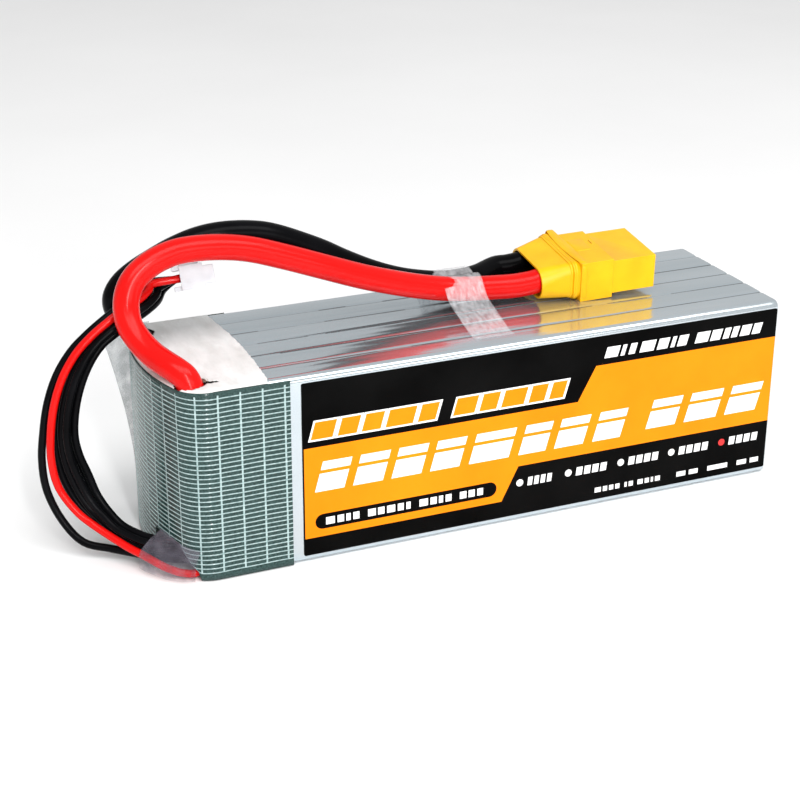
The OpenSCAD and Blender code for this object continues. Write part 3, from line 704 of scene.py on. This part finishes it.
def add_film(name, grid, crinkle, grain, material, thick):
    """A thin crumpled sheet through a grid of points."""
    rows, cols = len(grid), len(grid[0])
    points = []
    for r in range(rows):
        for c in range(cols):
            p = grid[r][c]
            along = grid[r][min(c + 1, cols - 1)] - grid[r][max(c - 1, 0)]
            up = grid[min(r + 1, rows - 1)][c] - grid[max(r - 1, 0)][c]
            n = along.cross(up).normalized()
            bump = abs(wave(p.x / grain, p.y / grain, p.z / grain / 1.6)) - 0.25
            bump += 0.4 * wave(p.x / grain * 2.7, p.y / grain * 2.7, p.z / grain * 1.7, 6)
            points.append(tuple(p + n * crinkle * bump))
    obj = add_mesh(name, points, grid_faces(rows, cols), [material])
    return thicken(obj, thick)


def flare(z):
    return 5.2 * max(0, (z - 10) / 30) ** 1.5


film_r = CORNER_R + 0.42
corner_grid = []
for z in [0.5, 6, 12, 17, 21, 25, 29, 33, 37, 40, PACK_H - 0.3]:
    row = []
    for a in [150, 142, 134, 126, 118, 110, 102, 95]:
        t = math.radians(a)
        away = flare(z) * min(1, (a - 95) / 35) ** 1.3
        row.append(Vector((CORNER_X + film_r * math.cos(t) - away, CORNER_Y + film_r * math.sin(t), z)))
    corner_grid.append(row)
attach(add_film("corner_film_sheet", resample(corner_grid, 5, 5), 0.12, 6, CLEAR, 0.07),
       ["corner_film"])

TOP = [(6.1, -20.9, 7.4), (3.6, -19, 8), (2.2, -16.3, 8.5), (1.4, -13.2, 8.9), (0.7, -10.4, 8.8)]
MIDDLE = [(4.9, -20.9, 4), (1.6, -19, 4.4), (-0.9, -16.9, 4.8), (-2.6, -14.2, 5), (-4, -11.2, 5.2)]
LOW = [(4.6, -20.8, 0.6), (1.7, -19.4, 0.5), (-0.8, -17.4, 0.6), (-2.8, -15, 0.9), (-4.9, -12, 1.4)]
exit_grid = [[Vector((END_X - 0.3 + x, y - 0.35, z)) for x, y, z in row] for row in (TOP, MIDDLE, LOW)]
attach(add_film("exit_film_sheet", resample(exit_grid, 14, 8), 0.22, 3, SMOKY, 0.07),
       ["exit_film"])

STRAP_X = END_X + 74.7
STRAP_W = 9.4
STRAP_LINE = [
    (-16.4, 0.1), (-14, 0.14), (-11.5, 0.9), (-8, 2.0), (-5, 3.0), (-2.6, 4.0), (-1, 5.6),
    (0.4, 7.2), (2.1, 7.95), (3.7, 7.6), (5, 7.2), (6.3, 7.5), (7.9, 7.75), (9.5, 7.2),
    (10.9, 5.6), (12, 3.8), (13.2, 2.2), (14.6, 0.9), (15.5, 0.1),
]
strap_rows = smooth_path([(0, y, SLEEVE_TOP + z) for y, z in STRAP_LINE], 5)
strap_grid = [
    [Vector((STRAP_X + STRAP_W * (c / 16 - 0.5) + 0.12 * wave(0, p.y / 3, c), p.y, p.z)) for c in range(17)]
    for p in strap_rows
]
attach(add_film("strap_film_sheet", strap_grid, 0.03, 3, STRAP, 0.06), ["lead_strap"])

# ---- label ----

def add_print(name, shapes, material, lift):
    """Flat printed areas on the label, each a list of (x, z) corners."""
    points, faces = [], []
    for shape in shapes:
        start = len(points)
        points += [(x, LABEL_FACE + 0.02 - lift, z) for x, z in shape]
        faces.append(tuple(range(start, start + len(shape))))
    obj = add_mesh(name, points, faces, [material], smooth=False)
    attach(thicken(obj, 0.012, 0))


def slanted(x, z, w, h, lean=0.28):
    return [(x, z), (x + w, z), (x + w + lean * h, z + h), (x + lean * h, z + h)]


def disc(x, z, r, sides=28):
    return [
        (x + r * math.cos(6.2832 * k / sides), z + r * math.sin(6.2832 * k / sides))
        for k in range(sides)
    ]


def pill(x0, x1, z, r):
    quarter = math.pi / 2
    left = [(x0 + r + r * math.cos(a), z + r * math.sin(a)) for a in spaced(quarter, 1.5 * math.pi, 12)]
    right = [(x1 - r + r * math.cos(a), z + r * math.sin(a)) for a in spaced(-quarter, quarter, 12)]
    return left + right


def rounded(x0, z0, x1, z1, r):
    shape = []
    corners = ((x1 - r, z1 - r, 0), (x0 + r, z1 - r, 90), (x0 + r, z0 + r, 180), (x1 - r, z0 + r, 270))
    for cx, cz, a in corners:
        for k in range(6):
            t = math.radians(a + 18 * k)
            shape.append((cx + r * math.cos(t), cz + r * math.sin(t)))
    return shape


label_low, label_high = (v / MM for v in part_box("front_label"))
label_edge = rounded(label_low.x, label_low.z, label_high.x, label_high.z, 0.4)
base = add_mesh("label_base", [(x, LABEL_FACE + 0.06, z) for x, z in label_edge],
                [tuple(range(len(label_edge)))], [INK_BLACK], smooth=False)
attach(thicken(base, 0.1), ["front_label"])

add_print("label_orange", [[
    (label_low.x + 0.3, 26.5), (20.9, 26.5), (25.1, 34.4), (label_high.x, 34.4),
    (label_high.x, 13.5), (6.7, 13.5), (2.8, 5.6), (label_low.x + 0.3, 5.6),
]], INK_ORANGE, 0.02)
add_print("label_pill", [pill(-41, 1.5, 9.1, 1.75)], INK_BLACK, 0.03)

big = []
for x, w in zip((-41, -32.4, -23.6, -14.6, -5.4, 6.6, 15.4, 25), (6.6, 6.8, 6.9, 6.9, 9.6, 6.6, 7.2, 7)):
    big += [slanted(x, 16.2, w, 4.1), slanted(x + 1.37, 21.1, w, 1.9)]
for x, w in ((38.6, 7.6), (48.6, 8.4), (59.4, 8.2)):
    big += [slanted(x, 16.9, w, 4.1), slanted(x + 1.37, 21.8, w, 1.9)]
add_print("label_blocks", big, INK_WHITE, 0.04)

title, title_edge = [], []
for x, w in ((-42, 5.2), (-36, 4.6), (-30.6, 4.6), (-25.2, 6.6), (-17.8, 4.4),
             (-9.6, 5.4), (-3.4, 4.4), (1.8, 5.8), (8.4, 4.2), (13.4, 3.8)):
    title_edge.append(slanted(x - 0.35, 27.9, w + 0.7, 4.7))
    title.append(slanted(x + 0.2, 28.3, w - 0.3, 3.9))
add_print("label_title_edge", title_edge, INK_WHITE, 0.03)
add_print("label_title", title, INK_ORANGE, 0.04)

small = [slanted(x, 35.9, w, 2.5) for x, w in (
    (27, 3.3), (31, 1), (33, 1.6), (35.8, 3.6), (40.2, 2.7), (43.7, 1), (45.4, 2.4),
    (50, 3.4), (54, 2.6), (57.3, 1.6), (59.5, 1.6), (61.8, 2.6), (65, 2.2))]
small += [slanted(x, 8.2, w, 1.7, 0) for x, w in (
    (-38.6, 2), (-36, 1.5), (-34, 1), (-32.4, 1.4), (-29, 1.8), (-26.7, 1.5), (-24.6, 1.9), (-22.1, 1.4),
    (-20.1, 1), (-17, 2), (-14.4, 1.5), (-12.4, 1), (-10.8, 1.4), (-7.4, 1.6), (-5.3, 1.5), (-3.2, 1.4))]
small += [slanted(x, 3.3, w, 1.2, 0) for x, w in (
    (26.3, 1.6), (28.4, 1.1), (30, 1.1), (31.6, 1.1), (34, 0.6), (35.1, 1.1), (37.4, 1.4), (39.3, 1.1),
    (40.9, 0.6), (42, 1.3), (47.7, 2.4), (51, 2.4), (56, 5.4), (64, 2.6), (67.6, 2.3))]
add_print("label_small_bars", small, INK_WHITE, 0.04)

values = [(x, 9.3 + 0.012 * x) for x in (7.2, 19.3, 32.7, 45.9, 59.3)]
add_print("label_dots", [disc(x, z, 0.85) for x, z in values[:4]], INK_WHITE, 0.03)
add_print("label_dot_red", [disc(*values[4], 0.85)], INK_RED, 0.03)
marks = []
for x, z in values:
    width = 6.4 if x < 10 else 8.2
    marks += [slanted(x + 1.9 + k * width / 4, z - 1, width / 4 - 0.5, 2, 0.1) for k in range(4)]
add_print("label_marks", marks, INK_WHITE, 0.04)

# ---- connector and other nodes of the frame ----

BEVEL_ANGLE = 32


def finish_node(node, material, width=0.0):
    """A procedural finish on a node of the frame, with its edges rounded over by width."""
    obj = cad[node]
    obj.data.materials.clear()
    obj.data.materials.append(material)
    if width:
        weld = obj.modifiers.new("weld", "WELD")
        weld.merge_threshold = 0.002 * MM
        bevel = obj.modifiers.new("rounding", "BEVEL")
        bevel.width = width * MM
        bevel.segments = 3
        bevel.limit_method = "ANGLE"
        bevel.angle_limit = math.radians(BEVEL_ANGLE)
        bevel.harden_normals = True


finish_node("connector_housing", YELLOW, 0.28)
finish_node("connector_cover", YELLOW, 0.12)
finish_node("balance_plug", PLUG, 0.12)
for node in ("socket_plus", "socket_minus"):
    finish_node(node, GOLD, 0.08)
for k in range(1, 8):
    finish_node(f"balance_contact_{k}", TIN, 0.05)
for k in range(1, 7):
    finish_node(f"cell_{k}", FOIL, 0.15)
finish_node("adhesive_sheets", SHEET)
finish_node("tabs_aluminium", ALUMINIUM, 0.03)
finish_node("tabs_nickel", NICKEL, 0.03)
finish_node("balance_board", BOARD, 0.05)
finish_node("link_pads", COPPER)
finish_node("solder_joints", SOLDER, 0.2)
finish_node("end_pad", FOAM, 0.2)
finish_node("lead_conductors", COPPER)
finish_node("cup_solder", SOLDER)


def at_connector(points):
    return [tuple(CONN_AT + turned(p, CONN_TURN)) for p in points]


def add_band(name, loops, body):
    """A band round the connector through loops of local points."""
    points = [p for loop in loops for p in at_connector(loop)]
    obj = add_mesh(name, points, grid_faces(len(loops), len(loops[0]), True), [YELLOW])
    return attach(obj, body=body)


def rounded_loop(x, w, t, r, bow=0.0, count=10):
    """A rounded rectangle across the connector; bow pushes its middle back."""
    loop = []
    for cy, cz, a in ((1, 1, 0), (-1, 1, 90), (-1, -1, 180), (1, -1, 270)):
        for k in range(count + 1):
            t_a = math.radians(a + 90 * k / count)
            y = cy * (w / 2 - r) + r * math.cos(t_a)
            z = cz * (t / 2 - r) + r * math.sin(t_a)
            back = bow * max(0, 1 - (2 * y / w) ** 2) * min(1, abs(z) / (t / 2 - 0.3))
            loop.append((x - back, y, z))
    closer = []
    for k, p in enumerate(loop):
        q = loop[(k + 1) % len(loop)]
        closer.append(p)
        if abs(p[1] - q[1]) > 3:
            for share in spaced(0, 1, 12)[1:-1]:
                y = p[1] + (q[1] - p[1]) * share
                back = bow * max(0, 1 - (2 * y / w) ** 2)
                closer.append((x - back, y, p[2]))
    return closer


# Raised lip of the collar, which bows back over the cover
COLLAR_BACK = -7.9
COLLAR_W = 20.6
COLLAR_T = 9.4
LIP = ((1.6, -0.05, 0), (1.45, 0.22, 0.1), (0.75, 0.3, 0.6), (0.3, 0.26, 1), (0.05, -0.02, 1))
lip = [rounded_loop(COLLAR_BACK + dx, COLLAR_W + grow, COLLAR_T + grow, 1.4, bow=0.9 * share)
       for dx, grow, share in LIP]
add_band("collar_lip", lip, "pack")
# Two steps on the cover behind the seam
for number, (back, size) in enumerate(((-8.75, 0.16), (-9.75, 0.12))):
    width, height = 20.0 - 0.9 * number, 8.95 - 0.35 * number
    step = [rounded_loop(back + dx, width + grow, height + grow, 2.3)
            for dx, grow in ((0.42, -0.1), (0.32, size), (0, size * 1.3), (-0.32, size), (-0.42, -0.1))]
    add_band(f"cover_step_{number + 1}", step, "cover")


def build_emboss():
    """A plain raised panel on top of the collar."""
    points, faces = [], []
    for x0, y0, x1, y1 in ((-6.1, -3.6, -2.3, 2.6), (-1.5, -1.2, -0.9, 1.2)):
        start = len(points)
        for inset, z in ((0, 4.68), (0.12, 4.8), (0.24, 4.83)):
            r = 0.6 - inset if x1 - x0 > 1.3 else 0.15
            loop = rounded(x0 + inset, y0 + inset, x1 - inset, y1 - inset, r)
            points += at_connector([(x, y, z) for x, y in loop])
        count = (len(points) - start) // 3
        faces += [tuple(start + i for i in f) for f in grid_faces(3, count, True)]
        faces.append(tuple(start + 2 * count + k for k in range(count)))
    return add_mesh("collar_panel", points, faces, [YELLOW])


attach(build_emboss())

# ---- floor and light ----

floor_mesh = bpy.data.meshes.new("floor")
floor_mesh.from_pydata([(-3, -3, 0), (3, -3, 0), (3, 3, 0), (-3, 3, 0)], [], [(0, 1, 2, 3)])
floor_mesh.materials.append(FLOOR)
floor = bpy.data.objects.new("floor", floor_mesh)
floor.location.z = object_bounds()[0].z - 0.00005
bpy.context.collection.objects.link(floor)

world = bpy.data.worlds.new("world")
world.use_nodes = True
world.node_tree.nodes["Background"].inputs["Color"].default_value = (1, 1, 1, 1)
world.node_tree.nodes["Background"].inputs["Strength"].default_value = 0.62
bpy.context.scene.world = world


def add_light(name, place, aim, size, power):
    data = bpy.data.lights.new(name, "AREA")
    data.shape = "RECTANGLE"
    data.size, data.size_y = size
    data.energy = power
    light = bpy.data.objects.new(name, data)
    light.location = place
    light.rotation_euler = (Vector(aim) - Vector(place)).to_track_quat("-Z", "Y").to_euler()
    bpy.context.collection.objects.link(light)


add_light("overhead", (0, -0.36, 0.84), (0, 0, 0), (1.2, 0.42), 6.5)
add_light("front", (0.05, -0.9, 0.35), (0, 0, 0.02), (0.9, 0.3), 1.8)
add_light("corner_strip", (-0.13, -0.8, 0.3), (-0.065, -0.02, 0.02), (0.06, 0.8), 5)
